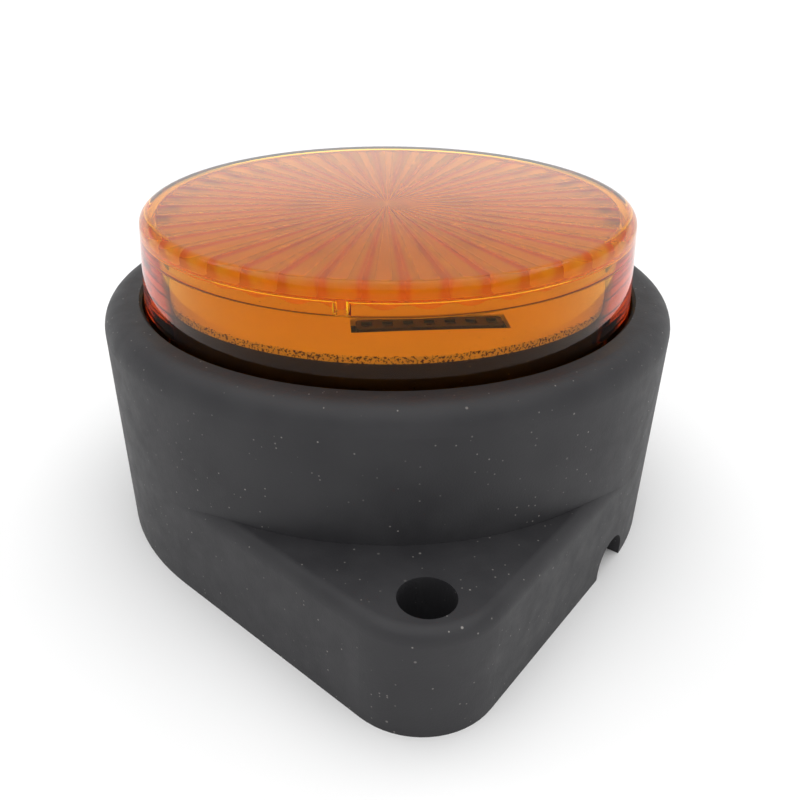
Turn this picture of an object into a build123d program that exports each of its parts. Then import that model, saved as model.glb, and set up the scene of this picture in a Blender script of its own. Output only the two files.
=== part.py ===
"""Amber warning lamp for a traffic barrier arm.

A black moulded housing with two bolt ears carries a clear amber lens that locks with a
bayonet turn. Under the lens lies a white reflector plate over a small LED board, and a driver
board below it. A back plate closes the housing, above a shallow cable space with a notch in
its wall.

Millimetres. The origin is at the bottom centre, +Z is up and the ears lie along -Y and +Y.
"""
import math
import os

from build123d import *

# ---------------------------------------------------------------- driving dimensions
# Housing
BODY_RADIUS = 40.8
RIM_HEIGHT = 33.4
RIM_ROUND = 3.3
RIM_BORE = 35.35
RIM_BORE_BEVEL = 0.8
SKIRT_WALL = 2.2
CHAMBER_RADIUS = 36.6
EAR_HEIGHT = 15.5
EAR_ROUND = 1.8
EAR_TOP_WALL = 2.5
EAR_SIDE_WALL = 2.4
TIP_CENTRE = 45.6
TIP_RADIUS = 10.3
HOLE_CENTRE = 50.0
HOLE_RADIUS = 3.4
HOLE_BOSS_RADIUS = 6.2
COVE_RADIUS = 1.3
COVE_END_SLOPE = 50.0

# Cable notch, an arch in the bottom edge of the wall
NOTCH_ANGLE = -44.0
NOTCH_HALF_WIDTH = 3.75
NOTCH_STRAIGHT = 1.25

# Lens seat: shelf, inner collar and bayonet track
SHELF_BOTTOM = 19.6
SHELF_TOP = 22.0
COLLAR_OUTER = 32.2
COLLAR_INNER = 28.2
COLLAR_TOP = 35.3
TRACK_BOTTOM = 25.0
TRACK_TOP = 27.8
TRACK_RADIUS = 30.7
LOCK_TURN = 20.0
LUG_COUNT = 2
LUG_WIDTH = 14.0
LUG_MARGIN = 1.6
LUG_FIRST = -25.0

# Lens
LENS_RADIUS = 35.0
LENS_TOP_RADIUS = 34.15
LENS_TOP = 45.3
LENS_ROUND = 1.5
LENS_BOTTOM = 24.1
LENS_BORE = 32.6
LENS_UPPER_BORE = 33.2
LENS_STEP = 41.2
LENS_STEP_ROUND = 0.25
FLUTE_CEILING = 42.9
FLUTE_DEPTH = 1.3
FLUTE_RADIUS = 32.0
FLUTE_LIP = 0.18
FLUTE_HUB = 3.5
FLUTE_COUNT = 40
FLUTE_PHASE = -91.47
FLUTE_LAND = 0.3
FLUTE_CONE_REACH = 1.2
INDEX_RIB_ANGLE = -103.9
INDEX_RIB_RADIUS = 0.85
LUG_INNER = 31.0
LUG_BOTTOM = 25.4
LUG_TOP = 27.4
GASKET_INNER = 32.8
GASKET_OUTER = 34.8
GASKET_TOP = 23.9

# Back plate, grommet and vent
PLATE_BOTTOM = 7.0
PLATE_TOP = 9.2
PLATE_RADIUS = 38.3
PLATE_BEVEL = 0.5
LEDGE = 10.4
BACK_GASKET_INNER = 36.8
BACK_GASKET_OUTER = 38.1
GROMMET_X = 13.0
GROMMET_Y = -13.0
GROMMET_BORE = 2.5
GROMMET_NECK = 5.4
GROMMET_FLANGE = 7.2
GROMMET_UPPER_FLANGE = 6.6
GROMMET_LOW = 5.4
GROMMET_HIGH = 10.6
GROMMET_ROUND = 0.8
GUARD_INNER = 10.4
GUARD_OUTER = 11.6
GUARD_HEIGHT = 0.8
VENT_X = -16.0
VENT_Y = 14.0
VENT_NECK = 3.4
VENT_FLANGE = 5.0
VENT_FLANGE_HEIGHT = 1.2
VENT_ROUND = 0.5
VENT_TOP = 10.0
VENT_HOLE_CIRCLE = 1.3
VENT_HOLE_RADIUS = 0.45
MEMBRANE_RADIUS = 2.4
MEMBRANE_THICKNESS = 0.4

# Back plate screws and their inserts
INSERT_CIRCLE = 32.4
INSERT_RADIUS = 2.1
INSERT_LENGTH = 5.0
INSERT_GROOVE_DEPTH = 0.2
INSERT_GROOVE_HEIGHT = 0.8
BOSS_RADIUS = 3.5
PLATE_SCREW_RADIUS = 1.45
PLATE_SCREW_PLAY = 0.25
HEAD_RADIUS = 2.75
HEAD_HEIGHT = 1.9
HEAD_ROUND = 0.9
HEAD_CROSS_LENGTH = 3.0
HEAD_CROSS_WIDTH = 0.7
HEAD_CROSS_DEPTH = 1.1
HEAD_CROSS_TURNS = (0.0, 63.0, 126.0, 189.0)

# Driver board under the shelf
BOARD_BOTTOM = 18.0
BOARD_TOP = SHELF_BOTTOM
BOARD_RADIUS = 35.8
BOARD_CUT_RADIUS = 4.0
BOARD_HOLE_PLAY = 0.15
BOARD_SCREW_CIRCLE = 30.2
BOARD_SCREW_RADIUS = 1.1
BOARD_SCREW_TIP = 24.0
PAN_RADIUS = 2.1
PAN_HEIGHT = 1.4
PAN_ROUND = 0.6
PAN_CROSS_LENGTH = 2.2
PAN_CROSS_WIDTH = 0.5
PAN_CROSS_DEPTH = 0.7

# LED board on spacers, inside the collar
LED_BOARD_BOTTOM = 29.4
LED_BOARD_TOP = 31.0
LED_BOARD_RADIUS = 27.8
LED_RINGS = ((3, 5.0, 90.0), (9, 13.0, 70.0))
LED_SIDE = 3.5
LED_HEIGHT = 1.0
LED_BEVEL = 0.4
DOME_RADIUS = 1.4
SPACER_CIRCLE = 21.0
SPACER_ANGLES = (60.0, 180.0, 300.0)
SPACER_SCREW_TURNS = (35.0, 4.0, 80.0)
SPACER_RADIUS = 2.5
SPACER_BORE = 1.25
STUD_RADIUS = 1.2
STUD_LENGTH = 4.0

# Socket strip that joins the two boards
HEADER_X = 3.0
HEADER_Y = -23.9
HEADER_WAYS = 7
HEADER_PITCH = 2.54
HEADER_WIDTH = 2.4
HEADER_BEVEL = 0.3
HEADER_HOLE_SIDE = 0.7
HEADER_BOARD_HOLE = 0.5
PIN_SIDE = 0.6
PIN_BEVEL = 0.15
PIN_BOTTOM = 18.2
PIN_TOP = 34.4
SOCKET_TOP = 36.3
SOCKET_MOUTH_SIDE = 1.3
SOCKET_MOUTH_DEPTH = 0.4
SOCKET_GAP = 0.65

# Reflector plate on top of the collar
REFLECTOR_RADIUS = 32.2
REFLECTOR_BOTTOM = COLLAR_TOP
REFLECTOR_TOP = 36.2
CUP_TOP_RADIUS = 3.6
CUP_BOTTOM_RADIUS = 2.3
CUP_BOTTOM = 32.1
CUP_WALL = 0.35
POST_RADIUS = 2.6

# Parts under the driver board: centres, then sizes along X and Y and downward
STANDOFF = 0.1
EPOXY_BEVEL = 0.25
CHIP_CENTRE = (-2.0, 2.0)
CHIP_SIZE = (3.9, 4.9, 1.6)
CHIP_MARK_OFFSET = (-1.2, 1.7)
CHIP_MARK_RADIUS = 0.4
CHIP_MARK_DEPTH = 0.1
LEAD_COUNT = 4
LEAD_PITCH = 1.27
LEAD_SIZE = (6.0, 0.42, 0.2)
TRANSISTOR_CENTRE = (14.0, 6.0)
TRANSISTOR_SIZE = (3.5, 6.5, 1.6)
TRANSISTOR_LEAD_PLACES = (-2.3, 0.0, 2.3)
TRANSISTOR_LEAD_SIZE = (2.6, 0.7, 0.25)
TRANSISTOR_TAB_SIZE = (2.6, 3.0, 0.25)
TRANSISTOR_LEAD_REACH = 2.3
CAP_LENGTH = 0.5
CAP_OVERLAP = 0.1
CAP_RAISE = 0.03
RESISTOR_CENTRES = ((22.0, -1.0), (22.0, -4.5), (22.0, -8.0), (-9.0, 16.0), (-9.0, 19.5), (-9.0, 23.0))
RESISTOR_SIZE = (3.2, 1.6, 0.6)
CERAMIC_CENTRES = ((-8.0, 4.0), (-8.0, 8.0), (5.0, 3.5), (5.0, 0.0))
CERAMIC_SIZE = (2.4, 1.3, 1.2)
FUSE_CENTRE = (-13.5, -20.8)
FUSE_SIZE = (6.1, 2.5, 2.4)
CAN_CENTRE = (-14.0, -6.0)
CAN_RADIUS = 3.1
CAN_HEIGHT = 6.8
CAN_ROUND = 0.5
CAN_FOOT_SIZE = (6.6, 6.6, 0.9)
CAN_FOOT_BEVEL = 1.2
INDUCTOR_CENTRE = (2.0, 15.0)
INDUCTOR_SIZE = (7.0, 7.0, 3.6)
INDUCTOR_BEVEL = 1.5
INDUCTOR_GROOVE_INNER = 2.6
INDUCTOR_GROOVE_OUTER = 3.1
INDUCTOR_GROOVE_DEPTH = 0.4
DIODE_CENTRES = ((-19.0, -13.5), (-13.5, -13.5))
DIODE_SIZE = (2.6, 4.4, 2.1)
DIODE_LEAD_SIZE = (1.5, 5.2, 0.25)

# Terminal block, heights measured down from the driver board
TERMINAL_X = -3.0
TERMINAL_Y = -21.0
TERMINAL_PITCH = 5.0
TERMINAL_WAYS = (-0.5, 0.5)
TERMINAL_SIZE = (8.0, 10.4, 8.0)
TERMINAL_BEVEL = 0.4
TERMINAL_MOUTH_WIDTH = 3.7
TERMINAL_MOUTH_SHIFT = 1.5
TERMINAL_MOUTH_HIGH = 1.5
TERMINAL_MOUTH_LOW = 5.2
TERMINAL_BORE = 1.75
TERMINAL_BORE_HIGH = 4.0
CLAMP_LENGTH = 4.6
CLAMP_WIDTH = 3.5
CLAMP_SHIFT = 0.4
CLAMP_HIGH = 1.6
CLAMP_LOW = 5.1
CLAMP_WINDOW_WIDTH = 2.3
CLAMP_WINDOW_HIGH = 2.2
CLAMP_WINDOW_LOW = 3.9
CLAMP_SCREW_HOLE = 1.25
CLAMP_SCREW_RADIUS = 1.2
CLAMP_SCREW_HIGH = 3.5
CLAMP_HEAD_RADIUS = 1.65
CLAMP_HEAD_HIGH = 5.9
CLAMP_HEAD_LOW = 7.4
CLAMP_SLOT_WIDTH = 0.5
CLAMP_SLOT_DEPTH = 0.6
CLAMP_SLOT_TURN = 20.0

RUNNING_GAP = 0.05
OVERRUN = 1.0
BASE = (Align.CENTER, Align.CENTER, Align.MIN)
QUARTERS = (0.0, 90.0, 180.0, 270.0)
DIAGONALS = (45.0, 135.0, 225.0, 315.0)
CROSS = (0.0, 90.0)


# ---------------------------------------------------------------- helpers
def rod(radius, bottom, top, x=0.0, y=0.0):
    """Upright cylinder between two heights."""
    return Pos(x, y, bottom) * Cylinder(radius, top - bottom, align=BASE)


def ring(inner, outer, bottom, top, x=0.0, y=0.0):
    """Upright tube between two heights."""
    return rod(outer, bottom, top, x, y) - rod(inner, bottom - OVERRUN, top + OVERRUN, x, y)


def block(width, depth, bottom, top, x=0.0, y=0.0, turn=0.0):
    """Upright block centred on x, y."""
    return Pos(x, y, bottom) * Rot(0, 0, turn) * Box(width, depth, top - bottom, align=BASE)


def sector(inner, outer, bottom, top, start, sweep):
    """Part of a tube, from an angle and over a sweep, in degrees."""
    middle = (inner + outer) / 2
    section = Plane.XZ * Pos(middle, (bottom + top) / 2) * Rectangle(outer - inner, top - bottom)
    return Rot(0, 0, start) * revolve(section, Axis.Z, revolution_arc=sweep)


def on_circle(radius, angle):
    """Point on a circle about the axis, angle in degrees."""
    return radius * math.cos(math.radians(angle)), radius * math.sin(math.radians(angle))


def group(solids):
    """Separate solids that share one node."""
    return Compound(children=[solid for shape in solids for solid in shape.solids()])


def bevel_bottom(shape, size):
    """Chamfer round the lowest face."""
    return chamfer(shape.edges().group_by(Axis.Z)[0], size)


def base_outline(inset=0.0):
    """Round body with two ears, joined by tangent flanks."""
    circles = Sketch() + Circle(BODY_RADIUS - inset)
    for side in (-1, 1):
        circles += Pos(0, side * TIP_CENTRE) * Circle(TIP_RADIUS - inset)
    return make_hull(circles.edges())


# ---------------------------------------------------------------- housing
def ear_pockets():
    """Hollows under both ears, round the hole bosses."""
    plan = base_outline(EAR_SIDE_WALL) - Circle(BODY_RADIUS)
    for side in (-1, 1):
        plan -= Pos(0, side * HOLE_CENTRE) * Circle(HOLE_BOSS_RADIUS)
    return extrude(plan, EAR_HEIGHT - EAR_TOP_WALL)


def ear_coves():
    """Small concave round where the ears' tops meet the round body."""
    tube = Plane.XZ * Pos(BODY_RADIUS + COVE_RADIUS, EAR_HEIGHT + COVE_RADIUS) * Circle(COVE_RADIUS)
    cove = ring(BODY_RADIUS - OVERRUN, BODY_RADIUS + COVE_RADIUS, EAR_HEIGHT - OVERRUN,
                EAR_HEIGHT + COVE_RADIUS)
    cove -= revolve(tube, Axis.Z)
    keep = extrude(base_outline(EAR_ROUND / 2), OVERRUN + COVE_RADIUS, taper=COVE_END_SLOPE)
    return cove & Pos(0, 0, EAR_HEIGHT - OVERRUN) * keep


def cable_notch():
    """Arch through the wall beside the front ear."""
    arch = Pos(0, NOTCH_STRAIGHT) * Circle(NOTCH_HALF_WIDTH)
    arch += Pos(0, (NOTCH_STRAIGHT - OVERRUN) / 2) * Rectangle(
        2 * NOTCH_HALF_WIDTH, NOTCH_STRAIGHT + OVERRUN)
    tunnel = extrude(Plane.YZ * arch, 2 * SKIRT_WALL + 2 * OVERRUN)
    start = BODY_RADIUS - SKIRT_WALL - OVERRUN
    return Rot(0, 0, NOTCH_ANGLE) * Pos(start, 0, 0) * tunnel


def lug_angles():
    """Where the lens's lugs stand when it is locked."""
    return [LUG_FIRST + index * 360 / LUG_COUNT for index in range(LUG_COUNT)]


def entry_slots():
    """Upright slots by which the lugs reach the tracks, and leave them."""
    width = LUG_WIDTH + 2 * LUG_MARGIN
    return [sector(TRACK_RADIUS, RIM_BORE, TRACK_BOTTOM, REFLECTOR_TOP + OVERRUN,
                   angle + LOCK_TURN - width / 2, width) for angle in lug_angles()]


def bayonet_tracks():
    """Level tracks in the outside of the inner collar, where the lugs turn."""
    width = LUG_WIDTH + 2 * LUG_MARGIN
    return [sector(TRACK_RADIUS, RIM_BORE, TRACK_BOTTOM, TRACK_TOP, angle - width / 2,
                   width + LOCK_TURN) for angle in lug_angles()]


def make_housing():
    base = extrude(base_outline(), EAR_HEIGHT)
    base = fillet(base.edges().group_by(Axis.Z)[-1], EAR_ROUND)
    body = rod(BODY_RADIUS, 0, RIM_HEIGHT)
    body = fillet(body.edges().group_by(Axis.Z)[-1], RIM_ROUND)
    shape = base + body + ear_coves()
    shape -= rod(BODY_RADIUS - SKIRT_WALL, -OVERRUN, LEDGE)
    shape -= rod(CHAMBER_RADIUS, LEDGE, SHELF_BOTTOM)
    well = rod(RIM_BORE, SHELF_TOP, RIM_HEIGHT + OVERRUN)
    mouth = Pos(0, 0, RIM_HEIGHT) * Cone(RIM_BORE, RIM_BORE + RIM_BORE_BEVEL, RIM_BORE_BEVEL)
    shape -= well + mouth
    shape += rod(COLLAR_OUTER, SHELF_BOTTOM, COLLAR_TOP)
    shape -= rod(COLLAR_INNER, SHELF_BOTTOM - OVERRUN, COLLAR_TOP + OVERRUN)
    for cut in bayonet_tracks() + entry_slots():
        shape -= cut
    for angle in QUARTERS:
        x, y = on_circle(INSERT_CIRCLE, angle)
        shape += rod(BOSS_RADIUS, PLATE_TOP, SHELF_BOTTOM, x, y)
        shape -= rod(INSERT_RADIUS + RUNNING_GAP, PLATE_TOP - OVERRUN,
                     PLATE_TOP + INSERT_LENGTH + OVERRUN, x, y)
    for angle in DIAGONALS:
        x, y = on_circle(BOARD_SCREW_CIRCLE, angle)
        shape -= rod(BOARD_SCREW_RADIUS + RUNNING_GAP, SHELF_BOTTOM - OVERRUN,
                     BOARD_SCREW_TIP + RUNNING_GAP, x, y)
    shape -= ear_pockets()
    for side in (-1, 1):
        shape -= rod(HOLE_RADIUS, -OVERRUN, EAR_HEIGHT + OVERRUN, 0, side * HOLE_CENTRE)
    shape -= cable_notch()
    return shape


# ---------------------------------------------------------------- lens
def flute_cone(angle, rise):
    """Cone whose underside is one flute: its point on the lens's axis, its lowest line level."""
    length = FLUTE_RADIUS * FLUTE_CONE_REACH
    cone = Cone(length * math.tan(rise), 0, length, align=BASE)
    lying = Rot(0, 90 - math.degrees(rise), 0) * Rot(180, 0, 0) * Pos(0, 0, -length) * cone
    return Rot(0, 0, angle) * Pos(0, 0, FLUTE_CEILING - FLUTE_DEPTH) * lying


def flute_cutters():
    """The sharp valleys between neighbouring flutes, which rise towards the lens's rim."""
    pitch = 360 / FLUTE_COUNT
    valley = math.atan((FLUTE_DEPTH - FLUTE_LIP) / FLUTE_RADIUS)
    rise = math.atan((1 - math.cos(valley) * math.cos(math.radians(pitch / 2))) / math.sin(valley))
    wedge = sector(FLUTE_HUB, FLUTE_RADIUS + OVERRUN, FLUTE_CEILING - 2 * FLUTE_DEPTH,
                   FLUTE_CEILING + FLUTE_DEPTH, -(pitch - FLUTE_LAND) / 2, pitch - FLUTE_LAND)
    for side in (-1, 1):
        wedge -= flute_cone(side * pitch / 2, rise)
    cutter = wedge.solids().sort_by(Axis.Z)[0]
    return [Rot(0, 0, FLUTE_PHASE + index * pitch) * cutter for index in range(FLUTE_COUNT)]


def lens_shell():
    """Turned shape of the cap: drafted wall, rounded top edge, stepped bore."""
    with BuildPart() as shell:
        with BuildSketch(Plane.XZ):
            with BuildLine():
                Polyline((0, LENS_TOP), (LENS_TOP_RADIUS, LENS_TOP), (LENS_RADIUS, RIM_HEIGHT),
                         (LENS_RADIUS, LENS_BOTTOM), (LENS_BORE, LENS_BOTTOM),
                         (LENS_BORE, LENS_STEP), (LENS_UPPER_BORE, LENS_STEP),
                         (LENS_UPPER_BORE, FLUTE_CEILING), (FLUTE_RADIUS, FLUTE_CEILING),
                         (FLUTE_RADIUS, FLUTE_CEILING - FLUTE_DEPTH),
                         (0, FLUTE_CEILING - FLUTE_DEPTH), (0, LENS_TOP))
            make_face()
        revolve(axis=Axis.Z)
        fillet(shell.edges().group_by(Axis.Z)[-1], LENS_ROUND)
        fillet(shell.edges().filter_by_position(Axis.Z, LENS_STEP, LENS_STEP), LENS_STEP_ROUND)
    return shell.part


def make_lens():
    shape = lens_shell()
    for cutter in flute_cutters():
        shape -= cutter
    x, y = on_circle(LENS_UPPER_BORE, INDEX_RIB_ANGLE)
    shape += rod(INDEX_RIB_RADIUS, LENS_STEP - RUNNING_GAP, FLUTE_CEILING + RUNNING_GAP, x, y)
    for angle in lug_angles():
        shape += sector(LUG_INNER, LENS_BORE + OVERRUN, LUG_BOTTOM, LUG_TOP,
                        angle - LUG_WIDTH / 2, LUG_WIDTH)
    return shape


def make_lens_gasket():
    return ring(GASKET_INNER, GASKET_OUTER, SHELF_TOP, GASKET_TOP)


# ---------------------------------------------------------------- light source
def led_places():
    """Centre and turn of each LED."""
    places = []
    for count, radius, first in LED_RINGS:
        for index in range(count):
            angle = first + index * 360 / count
            places.append((*on_circle(radius, angle), angle))
    return places


def spacer_places():
    """Centres of the spacers between the boards."""
    return [on_circle(SPACER_CIRCLE, angle) for angle in SPACER_ANGLES]


def pin_places():
    """Where the socket strip's pins stand along X."""
    first = HEADER_X - (HEADER_WAYS - 1) * HEADER_PITCH / 2
    return [first + way * HEADER_PITCH for way in range(HEADER_WAYS)]


def make_led_board():
    board = rod(LED_BOARD_RADIUS, LED_BOARD_BOTTOM, LED_BOARD_TOP)
    for x, y in spacer_places():
        board -= rod(STUD_RADIUS + RUNNING_GAP, LED_BOARD_BOTTOM - OVERRUN,
                     LED_BOARD_TOP + OVERRUN, x, y)
    for x in pin_places():
        board -= rod(HEADER_BOARD_HOLE, LED_BOARD_BOTTOM - OVERRUN, LED_BOARD_TOP + OVERRUN,
                     x, HEADER_Y)
    return board


def make_led_packages():
    bodies = []
    for x, y, turn in led_places():
        body = block(LED_SIDE, LED_SIDE, LED_BOARD_TOP, LED_BOARD_TOP + LED_HEIGHT, x, y, turn)
        bodies.append(chamfer(body.edges().filter_by(Axis.Z), LED_BEVEL))
    return group(bodies)


def make_led_domes():
    domes = []
    bottom = LED_BOARD_TOP + LED_HEIGHT
    for x, y, _ in led_places():
        ball = Pos(x, y, bottom) * Sphere(DOME_RADIUS)
        domes.append(ball & rod(2 * DOME_RADIUS, bottom, bottom + 2 * DOME_RADIUS, x, y))
    return group(domes)


def make_reflector():
    shape = rod(REFLECTOR_RADIUS, REFLECTOR_BOTTOM, REFLECTOR_TOP)
    depth = REFLECTOR_TOP - CUP_BOTTOM
    cup = Cone(CUP_BOTTOM_RADIUS, CUP_TOP_RADIUS, depth, align=BASE)
    wall = Cone(CUP_BOTTOM_RADIUS + CUP_WALL, CUP_TOP_RADIUS + CUP_WALL, depth, align=BASE)
    for x, y, _ in led_places():
        shape += Pos(x, y, CUP_BOTTOM) * wall
    for x, y, _ in led_places():
        shape -= Pos(x, y, CUP_BOTTOM) * cup
    for x, y in spacer_places():
        shape += rod(POST_RADIUS, LED_BOARD_TOP, REFLECTOR_BOTTOM, x, y)
        shape -= rod(STUD_RADIUS + RUNNING_GAP, LED_BOARD_TOP - OVERRUN,
                     LED_BOARD_BOTTOM + STUD_LENGTH + RUNNING_GAP, x, y)
    shape -= block(HEADER_WAYS * HEADER_PITCH + 2 * SOCKET_GAP, HEADER_WIDTH + 2 * SOCKET_GAP,
                   REFLECTOR_BOTTOM - OVERRUN, REFLECTOR_TOP + OVERRUN, HEADER_X, HEADER_Y)
    for slot in entry_slots():
        shape -= slot
    return shape


def make_board_spacers():
    """Hexagonal spacers with a stud on top and a blind bore below."""
    spacers = []
    for x, y in spacer_places():
        hexagon = Pos(x, y, BOARD_TOP) * RegularPolygon(SPACER_RADIUS, 6)
        spacer = extrude(hexagon, LED_BOARD_BOTTOM - BOARD_TOP)
        spacer += rod(STUD_RADIUS, LED_BOARD_BOTTOM, LED_BOARD_BOTTOM + STUD_LENGTH, x, y)
        spacer -= rod(SPACER_BORE, BOARD_TOP - OVERRUN, BOARD_TOP + STUD_LENGTH + OVERRUN, x, y)
        spacers.append(spacer)
    return group(spacers)


def header_strip(bottom, top):
    """Long moulded strip with a square passage for each pin."""
    body = block(HEADER_WAYS * HEADER_PITCH, HEADER_WIDTH, bottom, top, HEADER_X, HEADER_Y)
    body = chamfer(body.edges().filter_by(Axis.Z), HEADER_BEVEL)
    for x in pin_places():
        body -= block(HEADER_HOLE_SIDE, HEADER_HOLE_SIDE, bottom - OVERRUN, top + OVERRUN,
                      x, HEADER_Y)
    return body


def make_header_body():
    return header_strip(BOARD_TOP, LED_BOARD_BOTTOM)


def make_header_socket():
    socket = header_strip(LED_BOARD_TOP, SOCKET_TOP)
    for x in pin_places():
        socket -= block(SOCKET_MOUTH_SIDE, SOCKET_MOUTH_SIDE, SOCKET_TOP - SOCKET_MOUTH_DEPTH,
                        SOCKET_TOP + OVERRUN, x, HEADER_Y)
    return socket


def make_header_pins():
    pins = []
    for x in pin_places():
        pin = block(PIN_SIDE, PIN_SIDE, PIN_BOTTOM, PIN_TOP, x, HEADER_Y)
        pins.append(chamfer(pin.edges().group_by(Axis.Z)[-1], PIN_BEVEL))
    return group(pins)


def make_driver_board():
    board = rod(BOARD_RADIUS, BOARD_BOTTOM, BOARD_TOP)
    holes = [(BOARD_SCREW_RADIUS + BOARD_HOLE_PLAY, *on_circle(BOARD_SCREW_CIRCLE, angle))
             for angle in DIAGONALS]
    holes += [(STUD_RADIUS + BOARD_HOLE_PLAY, x, y) for x, y in spacer_places()]
    holes += [(HEADER_BOARD_HOLE, x, HEADER_Y) for x in pin_places()]
    for angle in QUARTERS:
        holes.append((BOARD_CUT_RADIUS, *on_circle(INSERT_CIRCLE, angle)))
        board -= Rot(0, 0, angle) * block(
            2 * BOARD_CUT_RADIUS, 2 * BOARD_CUT_RADIUS, BOARD_BOTTOM - OVERRUN,
            BOARD_TOP + OVERRUN, INSERT_CIRCLE + BOARD_CUT_RADIUS, 0)
    for radius, x, y in holes:
        board -= rod(radius, BOARD_BOTTOM - OVERRUN, BOARD_TOP + OVERRUN, x, y)
    return board


def pan_screw(radius, tip, x, y, turn):
    """Screw driven upward through the driver board."""
    low = BOARD_BOTTOM - PAN_HEIGHT
    head = rod(PAN_RADIUS, low, BOARD_BOTTOM, x, y)
    head = fillet(head.edges().group_by(Axis.Z)[0], PAN_ROUND)
    screw = head + rod(radius, BOARD_BOTTOM, tip, x, y)
    for cross in CROSS:
        screw -= block(PAN_CROSS_LENGTH, PAN_CROSS_WIDTH, low - OVERRUN, low + PAN_CROSS_DEPTH,
                       x, y, cross + turn)
    return screw


def make_spacer_screws():
    tip = BOARD_TOP + STUD_LENGTH
    return group([pan_screw(STUD_RADIUS, tip, x, y, turn)
                  for (x, y), turn in zip(spacer_places(), SPACER_SCREW_TURNS)])


def make_board_screws():
    return group([pan_screw(BOARD_SCREW_RADIUS, BOARD_SCREW_TIP,
                            *on_circle(BOARD_SCREW_CIRCLE, angle), angle) for angle in DIAGONALS])


# ---------------------------------------------------------------- parts under the driver board
def below(distance):
    """Height at a distance under the driver board."""
    return BOARD_BOTTOM - distance


def hung(size, x, y, turn=0.0, gap=0.0):
    """Block that hangs from the driver board."""
    width, depth, height = size
    return block(width, depth, below(gap + height), below(gap), x, y, turn)


def epoxy_body(size, x, y):
    """Moulded body that stands off the board, its far edges bevelled."""
    return bevel_bottom(hung(size, x, y, gap=STANDOFF), EPOXY_BEVEL)


def make_driver_chip():
    x, y = CHIP_CENTRE
    face = below(STANDOFF + CHIP_SIZE[2])
    chip = epoxy_body(CHIP_SIZE, x, y)
    chip -= rod(CHIP_MARK_RADIUS, face - OVERRUN, face + CHIP_MARK_DEPTH,
                x + CHIP_MARK_OFFSET[0], y + CHIP_MARK_OFFSET[1])
    for row in range(LEAD_COUNT):
        chip += hung(LEAD_SIZE, x, y + (row - (LEAD_COUNT - 1) / 2) * LEAD_PITCH)
    return chip


def make_switching_transistor():
    x, y = TRANSISTOR_CENTRE
    body = epoxy_body(TRANSISTOR_SIZE, x, y)
    for place in TRANSISTOR_LEAD_PLACES:
        body += hung(TRANSISTOR_LEAD_SIZE, x - TRANSISTOR_LEAD_REACH, y + place)
    return body + hung(TRANSISTOR_TAB_SIZE, x + TRANSISTOR_LEAD_REACH, y)


def capped_chip(size, x, y, turn):
    """Small block with raised metal ends, for surface-mounted parts."""
    length, width, height = size
    core = hung((length - 2 * (CAP_LENGTH - CAP_OVERLAP), width, height), x, y, turn)
    ends = hung((length, width + 2 * CAP_RAISE, height + CAP_RAISE), x, y, turn)
    ends -= block(length - 2 * CAP_LENGTH, width + OVERRUN, below(height + OVERRUN),
                  BOARD_BOTTOM + OVERRUN, x, y, turn)
    return core + ends


def make_current_resistors():
    return group([capped_chip(RESISTOR_SIZE, x, y, 0) for x, y in RESISTOR_CENTRES])


def make_ceramic_capacitors():
    return group([capped_chip(CERAMIC_SIZE, x, y, 90) for x, y in CERAMIC_CENTRES])


def make_fuse():
    return capped_chip(FUSE_SIZE, *FUSE_CENTRE, 90)


def make_electrolytic_capacitor():
    x, y = CAN_CENTRE
    foot = hung(CAN_FOOT_SIZE, x, y)
    foot = chamfer(foot.edges().filter_by(Axis.Z)[:2], CAN_FOOT_BEVEL)
    can = rod(CAN_RADIUS, below(CAN_HEIGHT), below(CAN_FOOT_SIZE[2] / 2), x, y)
    return foot + fillet(can.edges().group_by(Axis.Z)[0], CAN_ROUND)


def make_power_inductor():
    x, y = INDUCTOR_CENTRE
    face = below(INDUCTOR_SIZE[2])
    core = hung(INDUCTOR_SIZE, x, y)
    core = chamfer(core.edges().filter_by(Axis.Z), INDUCTOR_BEVEL)
    core -= ring(INDUCTOR_GROOVE_INNER, INDUCTOR_GROOVE_OUTER, face - OVERRUN,
                 face + INDUCTOR_GROOVE_DEPTH, x, y)
    return core


def make_protection_diodes():
    return group([epoxy_body(DIODE_SIZE, x, y) + hung(DIODE_LEAD_SIZE, x, y)
                  for x, y in DIODE_CENTRES])


def terminal_ways():
    """Where each way of the terminal block lies along Y."""
    return [TERMINAL_Y + way * TERMINAL_PITCH for way in TERMINAL_WAYS]


def make_terminal_block():
    bottom = below(TERMINAL_SIZE[2])
    body = bevel_bottom(hung(TERMINAL_SIZE, TERMINAL_X, TERMINAL_Y), TERMINAL_BEVEL)
    for y in terminal_ways():
        body -= block(TERMINAL_SIZE[0], TERMINAL_MOUTH_WIDTH, below(TERMINAL_MOUTH_LOW),
                      below(TERMINAL_MOUTH_HIGH), TERMINAL_X + TERMINAL_MOUTH_SHIFT, y)
        body -= rod(TERMINAL_BORE, bottom - OVERRUN, below(TERMINAL_BORE_HIGH), TERMINAL_X, y)
    return body


def make_terminal_clamps():
    cages = []
    for y in terminal_ways():
        x = TERMINAL_X + CLAMP_SHIFT
        cage = block(CLAMP_LENGTH, CLAMP_WIDTH, below(CLAMP_LOW), below(CLAMP_HIGH), x, y)
        cage -= block(CLAMP_LENGTH + OVERRUN, CLAMP_WINDOW_WIDTH, below(CLAMP_WINDOW_LOW),
                      below(CLAMP_WINDOW_HIGH), x, y)
        cage -= rod(CLAMP_SCREW_HOLE, below(CLAMP_LOW) - OVERRUN, below(CLAMP_WINDOW_LOW) + OVERRUN,
                    TERMINAL_X, y)
        cages.append(cage)
    return group(cages)


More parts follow.
